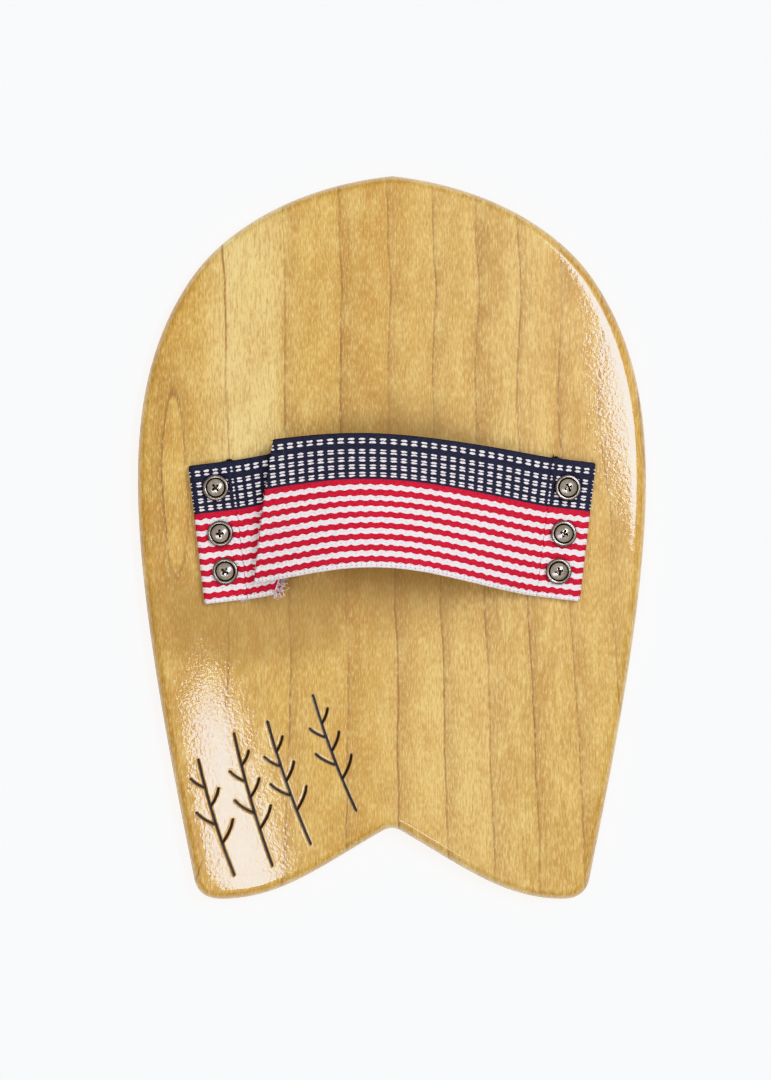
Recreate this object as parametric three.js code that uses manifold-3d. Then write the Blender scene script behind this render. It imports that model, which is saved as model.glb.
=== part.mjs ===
// A bodysurfing handplane: a solid wooden hand board with a two-piece webbing hand strap.
// Millimetres. +X is right, +Y is towards the nose and +Z is up from the board's underside.
// The strap's short tab is screwed down on the left. The main strap is screwed down on the right,
// arches over the hand and closes on the tab with a hook patch and a loop patch.

import * as THREE from 'three';
import { mergeVertices } from 'three/addons/utils/BufferGeometryUtils.js';
import Module from 'manifold-3d';

const wasm = await Module();
wasm.setup();

// ---- Board
const NOSE_Y = 152.3;
const TAIL_Y = -152.3;
const NOTCH_Y = -121.4;
const HALF_WIDTH = 107.2;
const WIDEST_Y = 24;
const BOARD_THICKNESS = 16;
const DECK_CROWN = 3; // drop of the deck from its middle line to its widest point
const RAIL_HEIGHT = 6.5; // where the rounded edge reaches furthest out
const TOP_ROLL = 5; // how far in the deck starts to round over
const BOTTOM_ROLL = 6;
const ROCKER_START_Y = 40; // the underside is flat behind this line and rises ahead of it
const NOSE_KICK = 5;
const OUTLINE_STEPS = 11; // straight steps on each of the outline's curves
const UNDERSIDE_SHARES = [0.3, 0.6, 0.8]; // the flat rings' sizes, as shares of the outline
const DECK_SHARES = [0.85, 0.65, 0.45, 0.25];
const BOTTOM_ROLL_DEGREES = [90, 60, 30, 0];
const TOP_ROLL_DEGREES = [22, 45, 67, 90];

// ---- Strap
const WEB_WIDTH = 58.2;
const WEB_THICKNESS = 1.8;
const GAP = 0.3; // clearance between separate pieces
const CLOTH_GAP = 0.2; // clearance between layers that lie on each other
const LIFT_X = 63; // where the strap leaves the deck, at the middle of its width
const LIFT_Y = 3.2;
const ROOT_X = LIFT_X - 1.5; // the moving part of each webbing starts here, clear of its anchor
const END_X = 81.6; // the folded ends, at the middle of their width
const TOE_ANGLE = THREE.MathUtils.degToRad(6.9); // the two ends converge towards the tail
const ARCH_RISE = 22;
const ARCH_LEAN = 7.5; // the arch leans towards the nose
const ARCH_TILT = THREE.MathUtils.degToRad(20); // and its nose edge is the lower one
const ARCH_FULLNESS = 1.2;
const RAW_END_X = 63.3; // the end of the folded-under layer
const MAIN_SHIFT = -1.2; // the main strap sits this far across, towards the nose
const MAIN_DRIFT = 4.6; // and was closed this much further off line
const MAIN_DRIFT_LENGTH = 118;
const MAIN_DRIFT_POWER = 2;
const MAIN_END_NOSE_X = -42.4; // the slanting cut end of the main strap
const MAIN_END_TAIL_X = -55.8;
const TAB_CORNER_NOSE_X = -43.5; // the tab's full width ends between these two
const TAB_CORNER_TAIL_X = -49.5;
const TAB_TIP_X = -28;
const TAB_TIP_HALF_WIDTH = 20;
const TAB_TRIM_LENGTH = 5;

// ---- Hook and loop patches
const PATCH_THICKNESS = 1;
const PATCH_INSET = 3; // from the main strap's cut end
const LOOP_HALF_WIDTH = 18;
const HOOK_HALF_WIDTH = 25;
const LOOP_INNER_X = -30;
const HOOK_INNER_X = -29;
const STACK_START_X = 35; // the main strap climbs onto the patches between these two lines
const STACK_FULL_X = -27;

// ---- Steps along and across each flat piece
const MAIN_STEPS = [40, 5];
const TAB_STEPS = [16, 5];
const HOOK_STEPS = [8, 4];
const LOOP_STEPS = [8, 3];
const FOLD_STEPS = 6;
const RUN_STEPS = 5;
const FOLD_STEPS_ACROSS = 4;

// ---- Thread
const THREAD_WIDTH = 0.6;
const THREAD_THICKNESS = 0.4;
const HEM_STITCH_X = 64.9;
const END_STITCH_INSET = 5;
const LOOP_STITCH_X = -31;
const HEM_STITCH_REACH = 27; // each row's half length
const HOOK_STITCH_REACH = 24;
const LOOP_STITCH_REACH = 16;
const STITCH_STEPS = 10;

// ---- Screws, number 6 by 5/8 inch, and cup washers
const SCREW_PLACES = { nose: [73.0, 20.7], middle: [71.2, 1.6], tail: [69.1, -14.1] };
const SCREW_TURNS = {
  right: { nose: 25, middle: 70, tail: 10 },
  left: { nose: 40, middle: 5, tail: 55 },
};
const SCREW_LENGTH = 16;
const POINT_LENGTH = 3;
const HEAD_RISE = 3.2; // top of the head over the washer's foot
const HEAD_CONE_BOTTOM = 2.84; // both measured down from the top of the head
const HEAD_CONE_TOP = 1.1;
const SHANK_RADIUS = 1.6;
const HEAD_RADIUS = 3.65;
const PILOT_RADIUS = 1.9;
const PILOT_DEPTH = 12.2;
const WEB_HOLE_RADIUS = 2;
const WEB_HOLE_LENGTH = 12;
const HOLE_SEGMENTS = 14;
const RECESS_WIDTH = 0.9;
const RECESS_SPAN = 4.4;
const RECESS_DEPTH = 1.6;
const ROUND_SEGMENTS = 20;

// Heights above the deck of each layer's underside
const LOWER_LAYER = GAP;
const UPPER_LAYER = LOWER_LAYER + WEB_THICKNESS + CLOTH_GAP;
const HEM_TOP = UPPER_LAYER + WEB_THICKNESS;
const LOOP_LAYER = HEM_TOP + CLOTH_GAP;
const HOOK_LAYER = LOOP_LAYER + PATCH_THICKNESS + CLOTH_GAP;
const MAIN_LAYER = HOOK_LAYER + PATCH_THICKNESS + CLOTH_GAP;

// ---- Helpers for closed meshes

// Shares the vertices of a geometry and drops the triangles that have no area at a pole.
function welded(geometry) {
  geometry.deleteAttribute('normal');
  geometry.deleteAttribute('uv');
  const merged = mergeVertices(geometry, 1e-4);
  const index = merged.getIndex().array;
  const kept = [];
  for (let i = 0; i < index.length; i += 3) {
    const [a, b, c] = [index[i], index[i + 1], index[i + 2]];
    if (a !== b && b !== c && c !== a) kept.push(a, b, c);
  }
  merged.setIndex(kept);
  return merged;
}

function toSolid(geometry) {
  const merged = welded(geometry);
  return new wasm.Manifold(new wasm.Mesh({
    numProp: 3,
    vertProperties: new Float32Array(merged.getAttribute('position').array),
    triVerts: new Uint32Array(merged.getIndex().array),
  }));
}

function toGeometry(solid) {
  const mesh = solid.getMesh();
  const geometry = new THREE.BufferGeometry();
  geometry.setAttribute('position', new THREE.BufferAttribute(mesh.vertProperties, 3));
  geometry.setIndex(new THREE.BufferAttribute(mesh.triVerts, 1));
  return geometry;
}

function cut(geometry, tools) {
  return toGeometry(tools.reduce((solid, tool) => solid.subtract(toSolid(tool)), toSolid(geometry)));
}

// A turned piece about +Z from a list of [radius, height] points.
function turned(profile, segments = ROUND_SEGMENTS) {
  const points = profile.map(([radius, height]) => new THREE.Vector2(radius, height));
  return new THREE.LatheGeometry(points, segments).rotateX(Math.PI / 2);
}

// ---- The board's surfaces

function deckHeight(x) {
  return BOARD_THICKNESS - DECK_CROWN * (x / HALF_WIDTH) ** 2;
}

function deckSlope(x) {
  return (-2 * DECK_CROWN * x) / HALF_WIDTH ** 2;
}

function undersideHeight(y) {
  const ahead = Math.max(0, y - ROCKER_START_Y) / (NOSE_Y - ROCKER_START_Y);
  return NOSE_KICK * ahead ** 2;
}

// The outline's right half, from the tail notch round the tail tip and up the rail to the nose.
function rightOutline() {
  const path = new THREE.Path();
  path.moveTo(0, NOTCH_Y);
  path.bezierCurveTo(27, -136.4, 45.4, TAIL_Y, 72, TAIL_Y);
  path.bezierCurveTo(77.5, TAIL_Y, 81.9, -150, 83.3, -144.1);
  path.bezierCurveTo(93.3, -94.1, HALF_WIDTH, -26, HALF_WIDTH, WIDEST_Y);
  path.bezierCurveTo(HALF_WIDTH, 54.3, 102.4, 83.2, 84.9, 108.8);
  path.bezierCurveTo(69.9, 130.7, 39, 148.2, 0, NOSE_Y);
  return path.getPoints(OUTLINE_STEPS);
}

// The board is a loft of rings, each a copy of the outline drawn in towards the middle.
function boardGeometry() {
  const right = rightOutline();
  const left = right.slice(1, -1).reverse().map((p) => new THREE.Vector2(-p.x, p.y));
  const outline = [...right, ...left];
  const count = outline.length;
  const reach = outline.map((p, i) => {
    const before = outline[(i + count - 1) % count];
    const after = outline[(i + 1) % count];
    const along = after.clone().sub(before).normalize();
    return p.x * along.y - p.y * along.x; // distance of the edge's tangent from the middle
  });
  const rings = [];
  const roll = (inset, surface, angle) => rings.push((i) => {
    const shrink = 1 - (inset * (1 - Math.cos(angle))) / reach[i];
    const p = outline[i].clone().multiplyScalar(shrink);
    return [p.x, p.y, RAIL_HEIGHT + (surface(p) - RAIL_HEIGHT) * Math.sin(angle)];
  });
  const flat = (inset, surface, share) => rings.push((i) => {
    const p = outline[i].clone().multiplyScalar((1 - inset / reach[i]) * share);
    return [p.x, p.y, surface(p)];
  });
  const underside = (p) => undersideHeight(p.y);
  const deck = (p) => deckHeight(p.x);
  for (const share of UNDERSIDE_SHARES) flat(BOTTOM_ROLL, underside, share);
  for (const degrees of BOTTOM_ROLL_DEGREES) {
    roll(BOTTOM_ROLL, underside, THREE.MathUtils.degToRad(degrees));
  }
  for (const degrees of TOP_ROLL_DEGREES) {
    roll(TOP_ROLL, deck, THREE.MathUtils.degToRad(degrees));
  }
  for (const share of DECK_SHARES) flat(TOP_ROLL, deck, share);

  const positions = [0, 0, 0];
  for (const ring of rings) {
    for (let i = 0; i < count; i += 1) positions.push(...ring(i));
  }
  positions.push(0, 0, BOARD_THICKNESS);
  const last = positions.length / 3 - 1;
  const index = [];
  for (let i = 0; i < count; i += 1) {
    const next = (i + 1) % count;
    index.push(0, 1 + next, 1 + i);
    for (let ring = 0; ring < rings.length - 1; ring += 1) {
      const low = 1 + ring * count;
      const high = low + count;
      index.push(low + i, low + next, high + next);
      index.push(low + i, high + next, high + i);
    }
    const top = 1 + (rings.length - 1) * count;
    index.push(top + i, top + next, last);
  }
  const geometry = new THREE.BufferGeometry();
  geometry.setAttribute('position', new THREE.Float32BufferAttribute(positions, 3));
  geometry.setIndex(index);
  return geometry;
}

// ---- The strap's surface
// A band point is given by x, the place of its cross line along the strap, by across, from the
// nose edge (negative) to the tail edge, and by height above the deck through the layers.

// 0 where the strap leaves the deck, 1 in the middle of the arch.
function archShare(x) {
  const quarterTurn = (Math.PI / 2) * Math.max(0, 1 - Math.abs(x) / LIFT_X);
  return Math.sin(quarterTurn) ** ARCH_FULLNESS;
}

function centreLine(x) {
  const outside = Math.max(0, Math.abs(x) - LIFT_X);
  const y = LIFT_Y + ARCH_LEAN * archShare(x) - Math.tan(TOE_ANGLE) * outside;
  return new THREE.Vector3(x, y, ARCH_RISE * archShare(x));
}

function crossDirection(x) {
  const toe = TOE_ANGLE * THREE.MathUtils.clamp(x / LIFT_X, -1, 1);
  const tilt = ARCH_TILT * archShare(x);
  return new THREE.Vector3(
    -Math.sin(toe) * Math.cos(tilt),
    -Math.cos(toe) * Math.cos(tilt),
    Math.sin(tilt),
  );
}

function bandNormal(x) {
  const step = 0.5;
  const along = centreLine(x + step).sub(centreLine(x - step));
  return crossDirection(x).cross(along).normalize();
}

function bandPoint(x, across, height) {
  const point = centreLine(x);
  point.addScaledVector(crossDirection(x), across);
  point.addScaledVector(bandNormal(x), height);
  point.z += deckHeight(point.x);
  return point;
}

// A closed strip of cloth: a box whose corners (u along, v across, h through, each 0 to 1) go
// where the place function puts them.
function strip(place, [stepsAlong, stepsAcross]) {
  const box = new THREE.BoxGeometry(1, 1, 1, stepsAlong, stepsAcross, 1);
  const position = box.getAttribute('position');
  for (let i = 0; i < position.count; i += 1) {
    const u = position.getX(i) + 0.5;
    const v = 0.5 - position.getY(i);
    const h = position.getZ(i) + 0.5;
    const point = place(u, v, h);
    position.setXYZ(i, point.x, point.y, point.z);
  }
  return welded(box);
}

const { lerp, smoothstep } = THREE.MathUtils;
const across = (v) => (v - 0.5) * WEB_WIDTH;

function mainDrift(x) {
  const gone = Math.max(0, LIFT_X - x) / MAIN_DRIFT_LENGTH;
  return MAIN_SHIFT - MAIN_DRIFT * gone ** MAIN_DRIFT_POWER;
}

function mainUnderside(x) {
  return lerp(MAIN_LAYER, UPPER_LAYER, smoothstep(x, STACK_FULL_X, STACK_START_X));
}

function mainEnd(v) {
  return lerp(MAIN_END_NOSE_X, MAIN_END_TAIL_X, v);
}

function mainStrap() {
  return strip((u, v, h) => {
    const x = lerp(mainEnd(v), ROOT_X, u);
    return bandPoint(x, across(v) + mainDrift(x), mainUnderside(x) + h * WEB_THICKNESS);
  }, MAIN_STEPS);
}

// The tab is full width up to its trimmed corners, then a narrower tongue.
function tabHalfWidth(x, v) {
  const corner = lerp(TAB_CORNER_NOSE_X, TAB_CORNER_TAIL_X, v);
  const trimmed = smoothstep(x, corner, corner + TAB_TRIM_LENGTH);
  return lerp(WEB_WIDTH / 2, TAB_TIP_HALF_WIDTH, trimmed);
}

function shortTab() {
  return strip((u, v, h) => {
    const x = lerp(-ROOT_X, TAB_TIP_X, u);
    const side = (2 * v - 1) * tabHalfWidth(x, v);
    return bandPoint(x, side, UPPER_LAYER + h * WEB_THICKNESS);
  }, TAB_STEPS);
}

function hookPatch() {
  return strip((u, v, h) => {
    const side = (2 * v - 1) * HOOK_HALF_WIDTH;
    const outer = mainEnd(0.5 + side / WEB_WIDTH) + PATCH_INSET;
    const x = lerp(outer, HOOK_INNER_X, u);
    return bandPoint(x, side + mainDrift(x), HOOK_LAYER + h * PATCH_THICKNESS);
  }, HOOK_STEPS);
}

function loopPatch() {
  return strip((u, v, h) => {
    const side = (2 * v - 1) * LOOP_HALF_WIDTH;
    const outer = mainEnd(0.5 + side / WEB_WIDTH) + PATCH_INSET;
    const x = lerp(outer, LOOP_INNER_X, u);
    return bandPoint(x, side, LOOP_LAYER + h * PATCH_THICKNESS);
  }, LOOP_STEPS);
}

// A screwed-down end: the webbing is folded under itself like a hairpin, with three screw holes.
function strapAnchor(side) {
  const midRadius = (WEB_THICKNESS + CLOTH_GAP) / 2;
  const foldHeight = LOWER_LAYER + WEB_THICKNESS + CLOTH_GAP / 2;
  const foldX = END_X - midRadius - WEB_THICKNESS / 2;
  const steps = FOLD_STEPS + 2 * RUN_STEPS;
  const hairpin = (u, h) => {
    const step = Math.round(u * steps);
    const radius = midRadius + (0.5 - h) * WEB_THICKNESS;
    if (step <= RUN_STEPS) {
      return [lerp(RAW_END_X, foldX, step / RUN_STEPS), foldHeight - radius];
    }
    if (step >= RUN_STEPS + FOLD_STEPS) {
      const share = (step - RUN_STEPS - FOLD_STEPS) / RUN_STEPS;
      return [lerp(foldX, LIFT_X, share), foldHeight + radius];
    }
    const angle = (Math.PI * (step - RUN_STEPS)) / FOLD_STEPS;
    return [foldX + radius * Math.sin(angle), foldHeight - radius * Math.cos(angle)];
  };
  const shift = side > 0 ? MAIN_SHIFT : 0;
  const folded = strip((u, v, h) => {
    const [x, height] = hairpin(u, side > 0 ? h : 1 - h);
    return bandPoint(side * x, across(v) + shift, height);
  }, [steps, FOLD_STEPS_ACROSS]);
  const holes = Object.values(SCREW_PLACES).map(([x, y]) => (
    onDeck(roundCutter(WEB_HOLE_RADIUS, WEB_HOLE_LENGTH), side * x, y, 0)
  ));
  return cut(folded, holes);
}

// A row of stitches, as one flat bar of thread lying on the cloth.
function stitchRow(place, reach) {
  return strip((u, v, h) => {
    const side = lerp(-reach, reach, v);
    const { x, drift, height } = place(side);
    return bandPoint(x + (u - 0.5) * THREAD_WIDTH, side + drift, height + h * THREAD_THICKNESS);
  }, [1, STITCH_STEPS]);
}

// ---- Fasteners and their holes, made standing at the origin and then set square to the deck

function roundCutter(radius, length) {
  return new THREE.CylinderGeometry(radius, radius, length, HOLE_SEGMENTS).rotateX(Math.PI / 2);
}

function onDeck(geometry, x, y, turn) {
  geometry.rotateZ(THREE.MathUtils.degToRad(turn));
  geometry.rotateY(-Math.atan(deckSlope(x)));
  return geometry.translate(x, y, deckHeight(x));
}

const WASHER_BASE = HEM_TOP + GAP;

function cupWasher() {
  const profile = [
    [2.3, 0], [4.05, 1.35], [4.35, 1.2], [4.9, 0], [5.35, 0],
    [5.35, 0.35], [4.8, 1.7], [4.25, 2.0], [3.75, 1.75], [2.3, 0.55], [2.3, 0],
  ];
  return turned(profile.map(([radius, height]) => [radius, height + WASHER_BASE]));
}

function screwSolid() {
  const top = WASHER_BASE + HEAD_RISE;
  const tip = WASHER_BASE - SCREW_LENGTH;
  const profile = [
    [0, tip], [SHANK_RADIUS, tip + POINT_LENGTH], [SHANK_RADIUS, top - HEAD_CONE_BOTTOM],
    [HEAD_RADIUS, top - HEAD_CONE_TOP], [HEAD_RADIUS, top - 0.95], [3.2, top - 0.5], [2.2, top - 0.15],
    [0, top],
  ];
  const slots = [[RECESS_SPAN, RECESS_WIDTH], [RECESS_WIDTH, RECESS_SPAN]].map(([w, d]) => (
    new THREE.BoxGeometry(w, d, 2 * RECESS_DEPTH).translate(0, 0, top)
  ));
  return cut(turned(profile), slots);
}

// ---- Assembly

const COLOURS = {
  wood: { color: 0xd1a95a, roughness: 0.25, metalness: 0 },
  webbing: { color: 0xd0263c, roughness: 0.9, metalness: 0 },
  patch: { color: 0x202228, roughness: 1, metalness: 0 },
  thread: { color: 0xe8e6e2, roughness: 0.6, metalness: 0 },
  steel: { color: 0x8c8782, roughness: 0.25, metalness: 1 },
};

const group = new THREE.Group();

function add(name, geometry, finish) {
  const mesh = new THREE.Mesh(geometry, new THREE.MeshStandardMaterial(COLOURS[finish]));
  mesh.name = name;
  group.add(mesh);
}

const pilotHoles = [];
for (const side of [1, -1]) {
  const sideName = side > 0 ? 'right' : 'left';
  for (const [place, [x, y]] of Object.entries(SCREW_PLACES)) {
    const turn = SCREW_TURNS[sideName][place];
    add(`screw_${sideName}_${place}`, onDeck(screwSolid(), side * x, y, turn), 'steel');
    add(`cup_washer_${sideName}_${place}`, onDeck(cupWasher(), side * x, y, 0), 'steel');
    pilotHoles.push(onDeck(roundCutter(PILOT_RADIUS, 2 * PILOT_DEPTH), side * x, y, 0));
  }
  add(`strap_anchor_${sideName}`, strapAnchor(side), 'webbing');
  const hemRow = () => ({
    x: side * HEM_STITCH_X,
    drift: side > 0 ? MAIN_SHIFT : 0,
    height: HEM_TOP + CLOTH_GAP,
  });
  add(`hem_stitch_${sideName}`, stitchRow(hemRow, HEM_STITCH_REACH), 'thread');
}

add('board', cut(boardGeometry(), pilotHoles), 'wood');
add('main_strap', mainStrap(), 'webbing');
add('short_tab', shortTab(), 'webbing');
add('hook_patch', hookPatch(), 'patch');
add('loop_patch', loopPatch(), 'patch');

const endRow = (side) => {
  const x = mainEnd(0.5 + side / WEB_WIDTH) + END_STITCH_INSET;
  return { x, drift: mainDrift(x), height: mainUnderside(x) + WEB_THICKNESS + CLOTH_GAP };
};
add('hook_patch_stitch', stitchRow(endRow, HOOK_STITCH_REACH), 'thread');

const tipRow = () => ({
  x: LOOP_STITCH_X,
  drift: 0,
  height: UPPER_LAYER - CLOTH_GAP - THREAD_THICKNESS,
});
add('loop_patch_stitch', stitchRow(tipRow, LOOP_STITCH_REACH), 'thread');

export default group;
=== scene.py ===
"""A bodysurfing handplane: a varnished wooden hand board with a two-piece striped webbing strap.

Lengths are millimetres until a mesh is made, where one factor turns them to metres.
+X is right, +Y is towards the nose and +Z is up from the board's underside.
"""

import math
import random

import bpy
import numpy as np
from mathutils import Matrix, Vector


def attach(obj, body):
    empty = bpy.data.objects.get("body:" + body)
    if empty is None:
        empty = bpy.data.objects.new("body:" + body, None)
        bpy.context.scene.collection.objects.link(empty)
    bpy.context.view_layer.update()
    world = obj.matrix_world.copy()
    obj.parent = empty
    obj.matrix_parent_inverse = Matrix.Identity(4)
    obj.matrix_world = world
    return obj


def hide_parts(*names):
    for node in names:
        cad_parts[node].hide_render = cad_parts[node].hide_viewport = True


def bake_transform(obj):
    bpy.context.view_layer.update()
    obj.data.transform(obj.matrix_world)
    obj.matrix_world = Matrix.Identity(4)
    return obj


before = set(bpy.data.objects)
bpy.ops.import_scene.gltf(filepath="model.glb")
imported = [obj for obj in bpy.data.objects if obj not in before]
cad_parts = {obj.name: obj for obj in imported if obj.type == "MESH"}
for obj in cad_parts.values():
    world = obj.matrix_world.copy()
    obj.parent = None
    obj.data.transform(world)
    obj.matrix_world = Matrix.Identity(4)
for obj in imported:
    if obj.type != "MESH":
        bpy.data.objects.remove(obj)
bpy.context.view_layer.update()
bpy.ops.object.select_all(action="DESELECT")

MM = 0.001

# ---- Board
NOSE_Y = 152.3
TAIL_Y = -152.3
NOTCH_Y = -121.4
HALF_WIDTH = 107.2
WIDEST_Y = 24
BOARD_THICKNESS = 16
DECK_CROWN = 3
RAIL_HEIGHT = 6.5
TOP_ROLL = 5
BOTTOM_ROLL = 6
ROCKER_START_Y = 40
NOSE_KICK = 5

# ---- Strap
WEB_WIDTH = 58.2
WEB_THICKNESS = 1.8
LIFT_X = 63
LIFT_Y = 3.2
END_X = 81.6
TOE_ANGLE = math.radians(6.9)
ARCH_RISE = 22
ARCH_LEAN = 7.5
ARCH_TILT = math.radians(20)
ARCH_FULLNESS = 1.2
RAW_END_X = 63.3
MAIN_SHIFT = -1.2
MAIN_DRIFT = 4.6
MAIN_DRIFT_LENGTH = 118
MAIN_END_NOSE_X = -42.4
MAIN_END_TAIL_X = -55.8
TAB_CORNER_NOSE_X = -43.5
TAB_CORNER_TAIL_X = -49.5
TAB_TIP_X = -28
TAB_TIP_HALF_WIDTH = 20
TAB_TRIM_LENGTH = 5
PATCH_THICKNESS = 1
PATCH_INSET = 3
LOOP_HALF_WIDTH = 18
HOOK_HALF_WIDTH = 25
LOOP_INNER_X = -30
HOOK_INNER_X = -29
STACK_START_X = 35
STACK_FULL_X = -27
HEM_STITCH_X = 64.9
END_STITCH_INSET = 5
LOOP_STITCH_X = -31

# Heights above the deck of each layer's underside
LOWER_LAYER = 0.3
UPPER_LAYER = 2.3
HEM_TOP = 4.1
LOOP_LAYER = 4.3
HOOK_LAYER = 5.5
MAIN_LAYER = 6.7

# ---- Screws and cup washers
SCREW_PLACES = {"nose": (73.0, 20.7), "middle": (71.2, 1.6), "tail": (69.1, -14.1)}
SCREW_TURNS = {
    "right": {"nose": 25, "middle": 70, "tail": 10},
    "left": {"nose": 40, "middle": 5, "tail": 55},
}
SCREW_LENGTH = 16
SHANK_RADIUS = 1.6
HEAD_RADIUS = 3.65
WASHER_BASE = 4.4

# ---- The webbing's weave
DASH_PERIOD = 3.68  # along the webbing
NAVY_SHARE = 0.348  # of the width
STRIPE_PAIRS = 8  # each a red and a white stripe
RED_SHARE = 0.53
DASH_PAIRS = (0.064, 0.145, 0.2035, 0.2605, 0.317)  # centres, as shares of the width


# ---- Camera, lights and floor


def make_camera():
    """Looks straight down on the deck from a metre above it, with the nose up."""
    bpy.ops.object.camera_add(location=(-2.7 * MM, -1.05 * MM, 1.008), rotation=(0, 0, 0))
    camera = bpy.context.object
    camera.data.sensor_width = 36
    camera.data.lens = 79.2
    camera.data.clip_start = 0.01
    bpy.context.scene.camera = camera


def place_softbox(name, place, turn, size, power):
    """An oval softbox that faces the floor, turned by some degrees."""
    bpy.ops.object.light_add(type="AREA", location=place, rotation=(0, 0, math.radians(turn)))
    light = bpy.context.object
    light.name = name
    light.data.shape = "ELLIPSE"
    light.data.size, light.data.size_y = size
    light.data.energy = power
    light.data.color = srgb("#e4f0ff")[:3]


def make_lights():
    """Two narrow softboxes for the varnish to mirror and two wider ones that only the metal and the
    rails mirror, in a studio with a pale ceiling and greyer walls."""
    place_softbox("softbox_right", (0.372, 0.21, 1.0), 0, (0.2, 0.42), 5)
    place_softbox("softbox_left", (-0.159, -0.352, 1.0), -71, (0.49, 0.085), 2.15)
    place_softbox("softbox_far_right", (0.6, 0.5, 1.0), 45, (0.4, 0.4), 2.6)
    place_softbox("softbox_far_left", (-0.6, -0.5, 1.0), 45, (0.6, 0.6), 1.4)
    world = bpy.context.scene.world or bpy.data.worlds.new("studio")
    bpy.context.scene.world = world
    world.use_nodes = True
    tree = world.node_tree
    up = add(tree, "SeparateXYZ", {0: add(tree, "TexCoord").outputs["Generated"]}).outputs[2]
    walls = add(tree, "ValToRGB", {0: up})
    fill_ramp(walls, [(0, "#75726e"), (0.4, "#bab7b1"), (0.8, "#d7d3cd"), (1, "#dbd7d1")])
    background = tree.nodes["Background"]
    tree.links.new(walls.outputs[0], background.inputs["Color"])
    background.inputs["Strength"].default_value = 1.22
    bpy.context.scene.view_settings.view_transform = "Khronos PBR Neutral"


def make_floor():
    bpy.ops.mesh.primitive_plane_add(size=8, location=(0, 0, 0))
    floor = bpy.context.object
    floor.name = "studio_floor"
    floor.data.materials.append(paper())


# ---- Materials


def srgb(text):
    """An sRGB hex colour as the linear RGBA that a shader takes."""
    channels = [int(text[i : i + 2], 16) / 255 for i in (1, 3, 5)]
    return (*[c / 12.92 if c <= 0.04045 else ((c + 0.055) / 1.055) ** 2.4 for c in channels], 1)


def new_material(name):
    material = bpy.data.materials.new(name)
    material.use_nodes = True
    return material, material.node_tree, material.node_tree.nodes["Principled BSDF"]


def add(tree, kind, links=None, **settings):
    """Adds a shader node, sets its properties, and fills its inputs with values or with sockets."""
    made = tree.nodes.new("ShaderNode" + kind)
    for key, value in settings.items():
        setattr(made, key, value)
    for key, value in (links or {}).items():
        source = value.outputs[0] if isinstance(value, bpy.types.Node) else value
        if isinstance(source, bpy.types.NodeSocket):
            tree.links.new(source, made.inputs[key])
        else:
            made.inputs[key].default_value = source
    return made


def fill_ramp(ramp, stops, interpolation="LINEAR"):
    """Gives a colour ramp its (position, colour) stops."""
    elements = ramp.color_ramp.elements
    ramp.color_ramp.interpolation = interpolation
    while len(elements) > 1:
        elements.remove(elements[-1])
    for i, (position, colour) in enumerate(stops):
        element = elements[0] if i == 0 else elements.new(position)
        element.position = position
        element.color = srgb(colour) if isinstance(colour, str) else (colour, colour, colour, 1)
    return ramp


def paper():
    """Seamless white studio paper: matte, and bright enough to read as plain white."""
    material, tree, shader = new_material("white_paper")
    shader.inputs["Base Color"].default_value = srgb("#f6f6f6")
    shader.inputs["Roughness"].default_value = 0.9
    seen = add(tree, "LightPath").outputs["Is Camera Ray"]
    glow = add(tree, "Math", {0: seen, 1: 1.0}, operation="MULTIPLY")
    shader.inputs["Emission Color"].default_value = srgb("#ffffff")
    tree.links.new(glow.outputs[0], shader.inputs["Emission Strength"])
    return material


RING_CENTRE_X = -91  # the trunk's middle lies under this line
RING_DEPTH = 60
RING_PITCH = 16
FIRST_RING = 60.2
INNER_RING = 64.3  # one more line, off the pitch
# Painted shadow of the strap: the middle and the half size of each patch, and how strongly it shows
STRAP_SHADOW_PATCHES = (((5, 10), (50, 58), 0.6), ((-62, -33), (58, 26), 0.5))


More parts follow.
